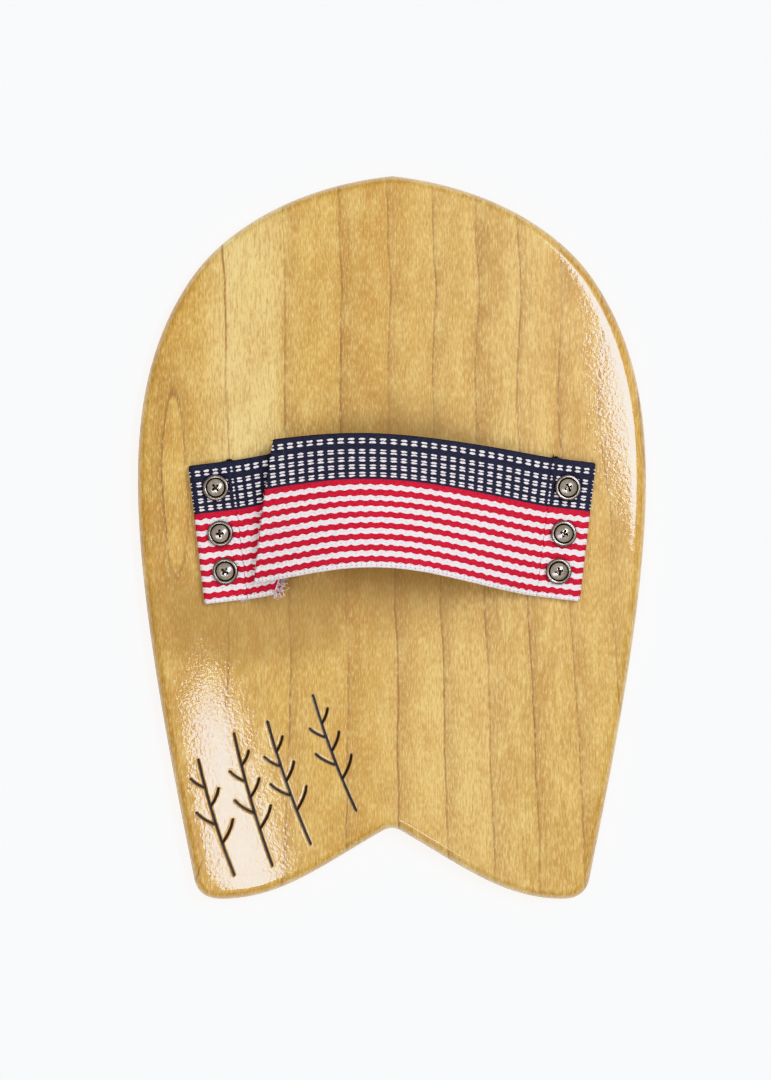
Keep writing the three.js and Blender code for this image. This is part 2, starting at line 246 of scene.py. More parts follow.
def varnished_wood():
    """Flat-sawn light hardwood under clear gloss varnish: golden, with straight growth-ring lines,
    one long narrow cathedral loop on the left, short dark fibre flecks and a wet, slightly rippled gloss."""
    material, tree, shader = new_material("varnished_flat_sawn_wood")
    place = add(tree, "TexCoord").outputs["Object"]
    mm = add(tree, "Mapping", {"Vector": place, "Scale": (1000, 1000, 1000)})
    axes = add(tree, "SeparateXYZ", {0: mm})
    x, y = axes.outputs[0], axes.outputs[1]

    # The rings' lines wander a little and fan out towards the tail.
    long_way = add(tree, "Mapping", {"Vector": mm, "Scale": (0.006, 0.02, 0.02)})
    wander = add(tree, "TexNoise", {"Vector": long_way, "Scale": 1, "Detail": 1.5})
    sway = add(tree, "MapRange", {0: wander, 1: 0.3, 2: 0.7, 3: -1.3, 4: 1.3})
    from_centre = add(tree, "Math", {0: x, 1: -RING_CENTRE_X}, operation="ADD")
    fan = add(tree, "MapRange", {0: y, 1: -152, 2: 60, 3: 0.925, 4: 1})
    fanned = add(tree, "Math", {0: from_centre, 1: fan}, operation="MULTIPLY")
    swayed = add(tree, "Math", {0: fanned, 1: sway}, operation="ADD")
    past = add(tree, "MapRange", {0: y, 1: 22 - 190, 2: 22 + 190, 3: -5, 4: 5}, clamp=False)
    bowed = add(tree, "Math", {0: past, 1: 2}, operation="POWER")
    depth = add(tree, "Math", {0: bowed, 1: 0.2, 2: RING_DEPTH}, operation="MULTIPLY_ADD")
    reach = add(tree, "CombineXYZ", {0: swayed, 1: depth})
    radius = add(tree, "VectorMath", {0: reach}, operation="LENGTH").outputs["Value"]
    rings = add(tree, "MapRange", {0: radius, 1: FIRST_RING, 2: FIRST_RING + RING_PITCH, 3: 0, 4: 1}, clamp=False)
    ring_phase = add(tree, "Math", {0: rings}, operation="FRACT")
    offset = add(tree, "Math", {0: swayed}, operation="ABSOLUTE")
    slant = add(tree, "Math", {0: offset, 1: radius}, operation="DIVIDE")
    steepness = add(tree, "Math", {0: slant, 1: 0.05}, operation="MAXIMUM")
    spread = add(tree, "Math", {0: RING_PITCH, 1: steepness}, operation="DIVIDE")
    past_line = add(tree, "Math", {0: ring_phase, 1: spread}, operation="MULTIPLY")
    phase_left = add(tree, "Math", {0: 1, 1: ring_phase}, operation="SUBTRACT")
    before_line = add(tree, "Math", {0: phase_left, 1: spread}, operation="MULTIPLY")
    trailing = add(tree, "MapRange", {0: past_line, 1: 0.25, 2: 1.1, 3: 1, 4: 0})
    leading = add(tree, "MapRange", {0: before_line, 1: 0.05, 2: 0.4, 3: 1, 4: 0})
    shade = add(tree, "MapRange", {0: past_line, 1: 0, 2: 8, 3: 0.38, 4: 0})
    line = add(tree, "Math", {0: trailing, 1: leading}, operation="MAXIMUM")
    off_inner = add(tree, "Math", {0: radius, 1: INNER_RING}, operation="SUBTRACT")
    from_inner = add(tree, "Math", {0: add(tree, "Math", {0: off_inner}, operation="ABSOLUTE"), 1: steepness},
                     operation="DIVIDE")
    inner_line = add(tree, "MapRange", {0: from_inner, 1: 0.15, 2: 0.7, 3: 0.9, 4: 0})
    either = add(tree, "Math", {0: line, 1: inner_line}, operation="MAXIMUM")
    late_wood = add(tree, "Math", {0: either, 1: shade}, operation="MAXIMUM")

    # Broad bands of tone, each from one ring to the next: one set towards the nose, one to the tail.
    across = add(tree, "MapRange", {0: swayed, 1: -20, 2: 200, 3: 0, 4: 1})
    nose_tones = add(tree, "ValToRGB", {0: across})
    fill_ramp(nose_tones, [
        (0.02, "#d3a653"), (0.13, "#dcb364"), (0.2, "#f8e0ab"), (0.28, "#f3d9a0"), (0.31, "#e0ba70"),
        (0.4, "#d8ae5e"), (0.44, "#cda04c"), (0.49, "#d6aa58"), (0.58, "#e0ba70"), (0.655, "#dcb569"),
        (0.67, "#c69945"), (0.73, "#e3c07b"), (0.8, "#e0ba72"), (0.82, "#d4a855"), (0.95, "#d9b062"),
    ])
    # In the tail set, the darker first stop along the left rail is painted shade.
    tail_tones = add(tree, "ValToRGB", {0: across})
    fill_ramp(tail_tones, [
        (0.02, "#c4963e"), (0.13, "#d3a752"), (0.22, "#d6ac58"), (0.33, "#deb766"), (0.43, "#d4a852"),
        (0.5, "#e6c27c"), (0.6, "#e8c886"), (0.67, "#e4c182"), (0.72, "#dab770"), (0.82, "#dbb46a"),
        (0.95, "#dab76c"),
    ])
    blotchy = add(tree, "TexNoise", {"Vector": mm, "Scale": 0.02, "Detail": 2})
    shifted_y = add(tree, "Math", {0: blotchy, 1: 90, 2: y}, operation="MULTIPLY_ADD")
    towards_nose = add(tree, "MapRange", {0: shifted_y, 1: -20, 2: 60, 3: 0, 4: 1}, interpolation_type="SMOOTHSTEP")
    tone = add(tree, "Mix", {0: towards_nose, 6: tail_tones, 7: nose_tones}, data_type="RGBA")

    # Ring lines, some strong and some faint.
    line_noise = add(tree, "TexNoise", {"Vector": add(tree, "Mapping", {"Vector": mm, "Scale": (0.05, 0.008, 0)}),
                                        "Scale": 1, "Detail": 1})
    line_strength = add(tree, "MapRange", {0: line_noise, 1: 0.35, 2: 0.65, 3: 0.5, 4: 1})
    lines = add(tree, "Math", {0: late_wood, 1: line_strength}, operation="MULTIPLY")
    ringed = add(tree, "Mix", {0: lines, 6: tone.outputs[2], 7: srgb("#8c5a1c")}, data_type="RGBA")

    # Fibre: soft clouds, fine streaks, and short flecks along the grain.
    clouds = add(tree, "TexNoise", {"Vector": add(tree, "Mapping", {"Vector": mm, "Scale": (0.09, 0.045, 0.05)}),
                                    "Scale": 1, "Detail": 5, "Roughness": 0.62})
    cloud_share = add(tree, "MapRange", {0: clouds, 1: 0.34, 2: 0.68, 3: 0, 4: 0.46})
    clouded = add(tree, "Mix", {0: cloud_share, 6: ringed.outputs[2], 7: srgb("#c08c38")}, data_type="RGBA")
    glow = add(tree, "TexNoise", {"Vector": add(tree, "Mapping", {"Vector": mm, "Scale": (0.16, 0.06, 0.05)}),
                                  "Scale": 1, "Detail": 4, "W": 3.0}, noise_dimensions="4D")
    glow_share = add(tree, "MapRange", {0: glow, 1: 0.46, 2: 0.72, 3: 0, 4: 0.5})
    glowing = add(tree, "Mix", {0: glow_share, 6: clouded.outputs[2], 7: srgb("#f2d695")}, data_type="RGBA")
    streaks = add(tree, "TexNoise", {"Vector": add(tree, "Mapping", {"Vector": mm, "Scale": (2.2, 0.05, 0.5)}),
                                     "Scale": 1, "Detail": 3})
    streak_share = add(tree, "MapRange", {0: streaks, 1: 0.4, 2: 0.75, 3: 0, 4: 0.4})
    streaked = add(tree, "Mix", {0: streak_share, 6: glowing.outputs[2], 7: srgb("#a97a30")}, data_type="RGBA")
    flecks = add(tree, "TexNoise", {"Vector": add(tree, "Mapping", {"Vector": mm, "Scale": (1.8, 0.36, 0.5)}),
                                    "Scale": 1, "Detail": 3, "Roughness": 0.6})
    fleck_share = add(tree, "MapRange", {0: flecks, 1: 0.48, 2: 0.68, 3: 0, 4: 0.45})
    flecked = add(tree, "Mix", {0: fleck_share, 6: streaked.outputs[2], 7: srgb("#b5832e")}, data_type="RGBA")
    shimmer_share = add(tree, "MapRange", {0: flecks, 1: 0.5, 2: 0.32, 3: 0, 4: 0.4})
    shimmering = add(tree, "Mix", {0: shimmer_share, 6: flecked.outputs[2], 7: srgb("#fbe6b6")}, data_type="RGBA")

    # Pores: fine dark dashes, a fraction of a millimetre wide and several long.
    pores = add(tree, "TexNoise", {"Vector": add(tree, "Mapping", {"Vector": mm, "Scale": (2.6, 0.16, 0.5)}),
                                   "Scale": 1, "Detail": 1})
    pore_share = add(tree, "MapRange", {0: pores, 1: 0.6, 2: 0.7, 3: 0, 4: 0.28})
    pored = add(tree, "Mix", {0: pore_share, 6: shimmering.outputs[2], 7: srgb("#96682a")}, data_type="RGBA")

    # Painted shadow of the strap on the deck: broad darker patches round the middle of the strap, and behind it on the
    # left.
    strap_shadowed = pored
    for (x_mm, y_mm), (half_x, half_y), depth_share in STRAP_SHADOW_PATCHES:
        from_patch = add(tree, "Mapping", {"Vector": mm, "Location": (-x_mm / half_x, -y_mm / half_y, 0),
                                           "Scale": (1 / half_x, 1 / half_y, 0)})
        patch_reach = add(tree, "VectorMath", {0: from_patch}, operation="LENGTH").outputs["Value"]
        ragged = add(tree, "Math", {0: clouds, 1: 0.9, 2: patch_reach}, operation="MULTIPLY_ADD")
        shadow_share = add(tree, "MapRange", {0: ragged, 1: 0.95, 2: 1.45, 3: depth_share, 4: 0},
                          interpolation_type="SMOOTHSTEP")
        strap_shadowed = add(tree, "Mix", {0: shadow_share, 6: strap_shadowed.outputs[2], 7: srgb("#a67c28")}, data_type="RGBA")

    # The burnt drawing: charred in the grooves and toasted brown just beside them.
    burn = add(tree, "Attribute", attribute_name="burn").outputs["Fac"]
    toast = add(tree, "MapRange", {0: burn, 1: 0, 2: 0.35, 3: 0, 4: 0.45})
    toasted = add(tree, "Mix", {0: toast, 6: strap_shadowed.outputs[2], 7: srgb("#7a4a18")}, data_type="RGBA")
    char = add(tree, "MapRange", {0: burn, 1: 0.4, 2: 0.62, 3: 0, 4: 1})
    charred = add(tree, "Mix", {0: char, 6: toasted.outputs[2], 7: srgb("#25120a")}, data_type="RGBA")
    amber = add(tree, "Mix", {0: 1, 6: charred.outputs[2], 7: srgb("#f7f7e1")}, data_type="RGBA",
                blend_type="MULTIPLY")
    deepened = add(tree, "Gamma", {0: amber.outputs[2], 1: 1.14})
    tree.links.new(deepened.outputs[0], shader.inputs["Base Color"])

    # Sprayed varnish keeps a faint orange peel, about two millimetres from dimple to dimple.
    peel = add(tree, "TexNoise", {"Vector": mm, "Scale": 0.7, "Detail": 2, "Roughness": 0.5})
    ripple = add(tree, "Bump", {"Height": peel, "Strength": 1, "Distance": 0.000032})
    tree.links.new(ripple.outputs[0], shader.inputs["Coat Normal"])
    shader.inputs["Roughness"].default_value = 0.5
    varnish = add(tree, "MapRange", {0: burn, 1: 0.35, 2: 0.6, 3: 1, 4: 0.15})
    tree.links.new(varnish.outputs[0], shader.inputs["Coat Weight"])
    shader.inputs["Coat Roughness"].default_value = 0.05
    shader.inputs["Coat IOR"].default_value = 1.5
    return material


NAVY = "#3c3c48"
RED = "#cd3444"
WHITE = "#f6ecec"


def ground_stops():
    """The warp's colours across the width, as constant stops."""
    stops = [(0, NAVY)]
    period = (1 - NAVY_SHARE) / STRIPE_PAIRS
    for pair in range(STRIPE_PAIRS):
        start = NAVY_SHARE + pair * period
        stops += [(start, RED), (start + RED_SHARE * period, WHITE)]
    return stops


def dash_stops():
    """How strongly the white weft floats show across the navy band. The first pair stands wider
    apart than the others."""
    stops = []
    for i, centre in enumerate(DASH_PAIRS):
        half_gap = (0.82 if i == 0 else 0.66) / WEB_WIDTH
        slope = 0.5 / WEB_WIDTH
        stops += [(centre - half_gap - slope, 0.0), (centre - half_gap, 1.0), (centre, 0.05)]
        stops += [(centre + half_gap, 1.0), (centre + half_gap + slope, 0.0)]
    return stops


def tick_stops():
    """Small dark ticks: one faint row along the middle of each white stripe and two plain rows in
    the last one."""
    stops = [(0, 0)]
    period = (1 - NAVY_SHARE) / STRIPE_PAIRS
    for pair in range(STRIPE_PAIRS - 1):
        middle = NAVY_SHARE + (pair + (1 + RED_SHARE) / 2) * period
        stops += [(middle - 0.007, 0), (middle, 0.35), (middle + 0.007, 0)]
    return stops + [(0.96, 0), (0.967, 1), (0.974, 0), (0.982, 0), (0.988, 1), (0.994, 0)]


def striped_webbing():
    """Heavy woven cotton webbing: a navy band with rows of white weft floats, then eight red and
    eight white stripes with rope-like scalloped borders. Matte, with a fine yarn texture."""
    material, tree, shader = new_material("striped_woven_webbing")
    uv = add(tree, "UVMap", uv_map="weave")
    axes = add(tree, "SeparateXYZ", {0: uv})
    along, share = axes.outputs[0], axes.outputs[1]
    turns = add(tree, "Math", {0: along, 1: 1 / DASH_PERIOD}, operation="MULTIPLY")

    # The stripes' borders rise slowly and fall fast once in each dash period.
    grain = add(tree, "TexNoise", {"Vector": add(tree, "CombineXYZ", {
        0: along, 1: add(tree, "Math", {0: share, 1: WEB_WIDTH}, operation="MULTIPLY")}), "Scale": 0.9, "Detail": 3})
    angle = add(tree, "Math", {0: turns, 1: 2 * math.pi}, operation="MULTIPLY")
    wave = add(tree, "Math", {0: angle}, operation="SINE")
    scallop = add(tree, "Math", {0: wave, 1: -0.0042, 2: share}, operation="MULTIPLY_ADD")
    rough_edge = add(tree, "MapRange", {0: grain, 1: 0.3, 2: 0.7, 3: -0.0026, 4: 0.0026})
    edge = add(tree, "Math", {0: scallop, 1: rough_edge}, operation="ADD")
    in_stripes = add(tree, "Math", {0: share, 1: NAVY_SHARE + 0.02}, operation="GREATER_THAN")
    cross = add(tree, "Mix", {0: in_stripes, 2: share, 3: edge})
    ground = add(tree, "ValToRGB", {0: cross})
    fill_ramp(ground, ground_stops(), "CONSTANT")

    # Dashes: a float shows where its row and its column both come up.
    row_edge = add(tree, "MapRange", {0: grain, 1: 0.3, 2: 0.7, 3: -0.003, 4: 0.003})
    row_place = add(tree, "Math", {0: share, 1: row_edge}, operation="ADD")
    rows = add(tree, "ValToRGB", {0: row_place})
    fill_ramp(rows, dash_stops())
    column_phase = add(tree, "Math", {0: turns}, operation="FRACT")
    off_middle = add(tree, "Math", {0: column_phase, 1: 0.5}, operation="SUBTRACT")
    off_size = add(tree, "Math", {0: off_middle}, operation="ABSOLUTE")
    columns = add(tree, "MapRange", {0: off_size, 1: 0.4, 2: 0.18, 3: 0, 4: 1})
    raised = add(tree, "Math", {0: columns, 1: 0.8, 2: rows}, operation="MULTIPLY_ADD")
    floats = add(tree, "MapRange", {0: raised, 1: 1.08, 2: 1.22, 3: 0, 4: 1})
    dashed = add(tree, "Mix", {0: floats, 6: ground, 7: srgb(WHITE)}, data_type="RGBA")

    # Small dark ticks in the white stripes.
    tick_rows = add(tree, "ValToRGB", {0: row_place})
    fill_ramp(tick_rows, tick_stops())
    half_turns = add(tree, "Math", {0: turns, 1: 2}, operation="MULTIPLY")
    off_tick = add(tree, "Math", {0: add(tree, "Math", {0: half_turns}, operation="FRACT"), 1: 0.5},
                   operation="SUBTRACT")
    tick_columns = add(tree, "MapRange", {0: add(tree, "Math", {0: off_tick}, operation="ABSOLUTE"),
                                          1: 0.24, 2: 0.1, 3: 0, 4: 0.75})
    ticks = add(tree, "Math", {0: tick_rows, 1: tick_columns}, operation="MULTIPLY")
    ticked = add(tree, "Mix", {0: ticks, 6: dashed.outputs[2], 7: srgb("#5c6170")}, data_type="RGBA")

    # Yarn: painted shade makes every colour a little darker where one yarn dives under the next.
    yarn_place = add(tree, "CombineXYZ", {
        0: add(tree, "Math", {0: along, 1: 1.1}, operation="MULTIPLY"),
        1: add(tree, "Math", {0: share, 1: WEB_WIDTH * 1.7}, operation="MULTIPLY")})
    yarn = add(tree, "TexVoronoi", {"Vector": yarn_place, "Scale": 1.0, "Randomness": 0.75})
    yarn_gap_shade = add(tree, "MapRange", {0: yarn.outputs["Distance"], 1: 0.35, 2: 0.75, 3: 0, 4: 0.24})
    shaded = add(tree, "Mix", {0: yarn_gap_shade, 6: ticked.outputs[2], 7: srgb("#3a2430")}, data_type="RGBA",
                 blend_type="MULTIPLY")
    fuzz = add(tree, "TexNoise", {"Vector": yarn_place, "Scale": 2.6, "Detail": 4})
    fuzz_share = add(tree, "MapRange", {0: fuzz, 1: 0.5, 2: 0.8, 3: 0, 4: 0.35})
    cloth = add(tree, "Mix", {0: fuzz_share, 6: shaded.outputs[2], 7: srgb("#b9a9ac")}, data_type="RGBA",
                blend_type="MULTIPLY")
    tree.links.new(cloth.outputs[2], shader.inputs["Base Color"])

    height = add(tree, "Math", {0: yarn.outputs["Distance"], 1: -0.7, 2: floats}, operation="MULTIPLY_ADD")
    rough = add(tree, "Math", {0: fuzz, 1: 0.5, 2: height}, operation="MULTIPLY_ADD")
    bump = add(tree, "Bump", {"Height": rough, "Strength": 0.7, "Distance": 0.00016})
    tree.links.new(bump.outputs[0], shader.inputs["Normal"])
    shader.inputs["Roughness"].default_value = 0.9
    shader.inputs["Sheen Weight"].default_value = 0.04
    shader.inputs["Specular IOR Level"].default_value = 0.25
    shader.inputs["Sheen Roughness"].default_value = 0.5
    return material


def nickel_plate(name, dull, bright, roughness):
    """Nickel plating: warm grey metal that blurs what it mirrors, slightly clouded, and darkened with
    painted shade where the driver's recess goes in."""
    material, tree, shader = new_material(name)
    place = add(tree, "TexCoord").outputs["Object"]
    clouds = add(tree, "TexNoise", {"Vector": place, "Scale": 400, "Detail": 2})
    ramp = add(tree, "ValToRGB", {0: clouds})
    fill_ramp(ramp, [(0.3, dull), (0.7, bright)])
    recess_shade = add(tree, "Attribute", attribute_name="recess_shade").outputs["Fac"]
    recess_shaded = add(tree, "Mix", {0: recess_shade, 6: ramp, 7: srgb("#5a5049")}, data_type="RGBA")
    tree.links.new(recess_shaded.outputs[2], shader.inputs["Base Color"])
    shader.inputs["Roughness"].default_value = roughness
    shader.inputs["Metallic"].default_value = 1
    return material


def clear_thread():
    """Clear nylon sewing thread: glassy and almost colourless, seen only by its glints."""
    material, tree, shader = new_material("clear_nylon_thread")
    place = add(tree, "TexCoord").outputs["Object"]
    twist = add(tree, "TexNoise", {"Vector": place, "Scale": 2500, "Detail": 2})
    ramp = add(tree, "ValToRGB", {0: twist})
    fill_ramp(ramp, [(0.35, "#8e8a88"), (0.65, "#c9c4c0")])
    tree.links.new(ramp.outputs[0], shader.inputs["Base Color"])
    shader.inputs["Roughness"].default_value = 0.25
    shader.inputs["Transmission Weight"].default_value = 0.7
    return material


def black_tape(name, spacing, roughness):
    """Black nylon hook or loop tape: deep black and dry, with a visible knitted ground."""
    material, tree, shader = new_material(name)
    place = add(tree, "TexCoord").outputs["Object"]
    knit = add(tree, "TexVoronoi", {"Vector": place, "Scale": 1 / (spacing * MM), "Randomness": 0.5})
    ramp = add(tree, "ValToRGB", {0: knit.outputs["Distance"]})
    fill_ramp(ramp, [(0.1, "#34343a"), (0.7, "#131316")])
    tree.links.new(ramp.outputs[0], shader.inputs["Base Color"])
    bump = add(tree, "Bump", {"Height": knit.outputs["Distance"], "Strength": 0.7, "Distance": 0.0002})
    tree.links.new(bump.outputs[0], shader.inputs["Normal"])
    shader.inputs["Roughness"].default_value = roughness
    shader.inputs["Sheen Weight"].default_value = 0.3
    return material


# ---- Making meshes


def new_piece(name, points, faces, material):
    """A mesh object from points in millimetres, smooth shaded, with its faces pointing out."""
    mesh = bpy.data.meshes.new(name)
    mesh.from_pydata((np.asarray(points) * MM).tolist(), [], faces)
    piece = bpy.data.objects.new(name, mesh)
    bpy.context.collection.objects.link(piece)
    mesh.materials.append(material)
    mesh.validate()
    work_on(piece)
    bpy.ops.object.mode_set(mode="EDIT")
    bpy.ops.mesh.select_all(action="SELECT")
    bpy.ops.mesh.normals_make_consistent(inside=False)
    bpy.ops.object.mode_set(mode="OBJECT")
    bpy.ops.object.shade_smooth()
    return piece


def work_on(piece):
    """Makes one piece the only selected and the active one."""
    bpy.ops.object.select_all(action="DESELECT")
    piece.select_set(True)
    bpy.context.view_layer.objects.active = piece


def smoothstep(x, start, end):
    share = np.clip((x - start) / (end - start), 0, 1)
    return share * share * (3 - 2 * share)


def lerp(a, b, share):
    return a + (b - a) * share


# ---- The board


def deck_height(x):
    return BOARD_THICKNESS - DECK_CROWN * (x / HALF_WIDTH) ** 2


def deck_slope(x):
    return -2 * DECK_CROWN * x / HALF_WIDTH**2


def underside_height(y):
    return NOSE_KICK * (np.maximum(0, y - ROCKER_START_Y) / (NOSE_Y - ROCKER_START_Y)) ** 2


def bezier(start, first, second, end, steps):
    """Points on a cubic curve, without its end."""
    t = np.linspace(0, 1, steps, endpoint=False)[:, None]
    start, first, second, end = (np.array(p, float) for p in (start, first, second, end))
    return (1 - t) ** 3 * start + 3 * (1 - t) ** 2 * t * first + 3 * (1 - t) * t**2 * second + t**3 * end


def board_outline():
    """The outline from the tail notch round the right tail tip and up the rail to the nose, and back
    down the left side."""
    notch = (0, NOTCH_Y)
    tip_inside = (72, TAIL_Y)
    tip_outside = (83.3, -144.1)
    widest = (HALF_WIDTH, WIDEST_Y)
    shoulder = (84.9, 108.8)
    nose = (0, NOSE_Y)
    right = np.concatenate([
        bezier(notch, (27, -136.4), (45.4, TAIL_Y), tip_inside, 52),
        bezier(tip_inside, (77.5, TAIL_Y), (81.9, -150), tip_outside, 12),
        bezier(tip_outside, (93.3, -94.1), (HALF_WIDTH, -26), widest, 70),
        bezier(widest, (HALF_WIDTH, 54.3), (102.4, 83.2), shoulder, 44),
        bezier(shoulder, (69.9, 130.7), (39, 148.2), nose, 44),
        [nose],
    ])
    left = right[-2:0:-1] * (-1, 1)
    outline = np.concatenate([right, left])
    # The notch's corner is sanded soft: three passes of averaging next to it.
    for _ in range(3):
        for i in (0, 1, -1):
            outline[i] = (outline[i - 1] + outline[(i + 1) % len(outline)] + 2 * outline[i]) / 4
    return outline


def board_rings():
    """Copies of the outline drawn in towards the middle: underside, rolled rail, crowned deck."""
    outline = board_outline()
    along = np.roll(outline, -1, axis=0) - np.roll(outline, 1, axis=0)
    along /= np.linalg.norm(along, axis=1)[:, None]
    reach = (outline[:, 0] * along[:, 1] - outline[:, 1] * along[:, 0])[:, None]

    def ring(inset, share, height, roll):
        flat = outline * (1 - inset / reach) * share
        surface = height(flat)
        return np.column_stack([flat, RAIL_HEIGHT + (surface - RAIL_HEIGHT) * roll])

    def underside(p):
        return underside_height(p[:, 1])

    def deck(p):
        return deck_height(p[:, 0])

    rings = [ring(BOTTOM_ROLL, share, underside, 1) for share in np.linspace(0.04, 0.96, 16)]
    for angle in np.radians(np.linspace(90, 9, 10)):
        rings.append(ring(BOTTOM_ROLL * (1 - math.cos(angle)), 1, underside, math.sin(angle)))
    for angle in np.radians(np.linspace(0, 90, 19)):
        rings.append(ring(TOP_ROLL * (1 - math.cos(angle)), 1, deck, math.sin(angle)))
    rings += [ring(TOP_ROLL, share, deck, 1) for share in np.linspace(0.975, 0.025, 39)]
    return rings


def sprig_strokes():
    """A hand-drawn row of seaside grass: four leaning stems with small leaves, as point lists."""
    strokes = []
    for base, tip, leaves in SPRIG_STEMS:
        base, tip = np.array(base, float), np.array(tip, float)
        rise = tip - base
        side = np.array([-rise[1], rise[0]]) / np.linalg.norm(rise)
        bend = base + rise * 0.5 + side * 2.0
        t = np.linspace(0, 1, 26)[:, None]
        stem = (1 - t) ** 2 * base + 2 * (1 - t) * t * bend + t**2 * tip
        strokes.append(stem)
        for i in range(leaves):
            share = 0.3 + 0.62 * i / leaves
            root = stem[int(share * 25)]
            hand = 1 if i % 2 else -1
            length = 11.5 * (1.15 - share * 0.7)
            out = (rise / np.linalg.norm(rise) * 0.75 + side * hand * 0.66) * length
            belly = root + out * 0.5 + side * hand * length * 0.16
            s = np.linspace(0, 1, 10)[:, None]
            strokes.append((1 - s) ** 2 * root + 2 * (1 - s) * s * belly + s**2 * (root + out))
    return strokes


SPRIG_STEMS = (
    ((-66, -141), (-81, -93), 4),
    ((-50, -137), (-66, -82), 5),
    ((-34, -128), (-52, -77), 5),
    ((-15, -114), (-33, -66), 5),
)
STROKE_WIDTH = 1.1
GROOVE_DEPTH = 0.35


def distance_to_strokes(points, strokes):
    """Each point's distance from the nearest stroke, in the plane."""
    nearest = np.full(len(points), 1e9)
    for stroke in strokes:
        for a, b in zip(stroke[:-1], stroke[1:]):
            way = b - a
            share = np.clip((points - a) @ way / (way @ way), 0, 1)
            gap = np.linalg.norm(points - a - share[:, None] * way, axis=1)
            nearest = np.minimum(nearest, gap)
    return nearest


def make_board():
    rings = board_rings()
    count = len(rings[0])
    points = [(0, 0, 0), *np.concatenate(rings).tolist(), (0, 0, BOARD_THICKNESS)]
    last = len(points) - 1
    top = 1 + (len(rings) - 1) * count
    faces = []
    for i in range(count):
        after = (i + 1) % count
        faces.append((0, 1 + after, 1 + i))
        faces.append((top + i, top + after, last))
        for ring in range(len(rings) - 1):
            low = 1 + ring * count
            faces.append((low + i, low + after, low + count + after, low + count + i))
    board = new_piece("hand_board", points, faces, varnished_wood())
    burn_sprig(board)
    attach(board, "board")
    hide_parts("board")


def burn_sprig(board):
    """Cuts the drawing's grooves into the deck, on faces made fine enough to hold them."""
    strokes = sprig_strokes()
    mesh = board.data
    centres = np.empty(len(mesh.polygons) * 3)
    mesh.polygons.foreach_get("center", centres)
    centres = centres.reshape(-1, 3) / MM
    near = distance_to_strokes(centres[:, :2], strokes) < 3.2
    chosen = near & (centres[:, 2] > RAIL_HEIGHT)
    mesh.polygons.foreach_set("select", chosen)
    mesh.edges.foreach_set("select", np.zeros(len(mesh.edges), bool))
    mesh.vertices.foreach_set("select", np.zeros(len(mesh.vertices), bool))
    work_on(board)
    bpy.ops.object.mode_set(mode="EDIT")
    bpy.ops.mesh.select_mode(type="FACE")
    bpy.ops.mesh.subdivide(number_cuts=6)
    bpy.ops.object.mode_set(mode="OBJECT")
    points = np.empty(len(mesh.vertices) * 3)
    mesh.vertices.foreach_get("co", points)
    points = points.reshape(-1, 3)
    gap = distance_to_strokes(points[:, :2] / MM, strokes)
    gap[points[:, 2] < RAIL_HEIGHT * MM] = 1e3
    half = STROKE_WIDTH / 2
    points[:, 2] -= MM * GROOVE_DEPTH * np.exp(-((gap / (half * 0.75)) ** 2))
    points[:, 2] += MM * 0.03 * np.exp(-(((gap - half * 1.5) / 0.35) ** 2))
    mesh.vertices.foreach_set("co", points.ravel())
    burn = mesh.attributes.new("burn", "FLOAT", "POINT")
    burn.data.foreach_set("value", np.clip(1 - gap / (2 * half), 0, 1))
    mesh.update()


# ---- The strap's surface


def arch_share(x):
    """0 where the strap leaves the deck, 1 in the middle of the arch."""
    return np.sin(math.pi / 2 * np.maximum(0, 1 - np.abs(x) / LIFT_X)) ** ARCH_FULLNESS


def centre_line(x):
    outside = np.maximum(0, np.abs(x) - LIFT_X)
    y = LIFT_Y + ARCH_LEAN * arch_share(x) - math.tan(TOE_ANGLE) * outside
    return np.stack([x, y, ARCH_RISE * arch_share(x)], axis=-1)


def cross_direction(x):
    toe = TOE_ANGLE * np.clip(x / LIFT_X, -1, 1)
    tilt = ARCH_TILT * arch_share(x)
    return np.stack([-np.sin(toe) * np.cos(tilt), -np.cos(toe) * np.cos(tilt), np.sin(tilt)], axis=-1)


def band_normal(x):
    along = centre_line(x + 0.5) - centre_line(x - 0.5)
    normal = np.cross(cross_direction(x), along)
    return normal / np.linalg.norm(normal, axis=-1, keepdims=True)


def band_point(x, across, height):
    """x is the place of the cross line, across runs from the nose edge (negative) to the tail edge,
    and height goes up from the deck through the layers."""
    point = centre_line(x) + cross_direction(x) * across[..., None] + band_normal(x) * height[..., None]
    point[..., 2] += deck_height(point[..., 0])
    return point


def cloth_length(x):
    """How much webbing lies between the middle of the arch and a cross line."""
    line = np.linspace(-90, 90, 1441)
    points = band_point(line, np.zeros_like(line), np.full_like(line, UPPER_LAYER))
    steps = np.linalg.norm(np.diff(points, axis=0), axis=1)
    total = np.concatenate([[0], np.cumsum(steps)])
    return np.interp(x, line, total - total[720])


def flat_length(side, end_x):
    """The whole length of a webbing, from its folded-under raw end to its free end."""
    return RUN + FOLD + side * (cloth_length(side * FOLD_X) - cloth_length(end_x))


def main_drift(x):
    gone = np.maximum(0, LIFT_X - x) / MAIN_DRIFT_LENGTH
    return MAIN_SHIFT - MAIN_DRIFT * gone**2


def main_underside(x):
    return lerp(MAIN_LAYER, UPPER_LAYER, smoothstep(x, STACK_FULL_X, STACK_START_X))


def main_end(share):
    return lerp(MAIN_END_NOSE_X, MAIN_END_TAIL_X, share)


def tab_half_width(x, across):
    corner = lerp(TAB_CORNER_NOSE_X, TAB_CORNER_TAIL_X, across / WEB_WIDTH + 0.5)
    trimmed = smoothstep(x, corner, corner + TAB_TRIM_LENGTH)
    return lerp(WEB_WIDTH / 2, TAB_TIP_HALF_WIDTH, trimmed)


# ---- Webbing

MID_RADIUS = 1.0  # of the folded end, to the middle of the cloth
FOLD_HEIGHT = LOWER_LAYER + WEB_THICKNESS + 0.1
FOLD_X = END_X - MID_RADIUS - WEB_THICKNESS / 2
RUN = FOLD_X - RAW_END_X
FOLD = math.pi * MID_RADIUS


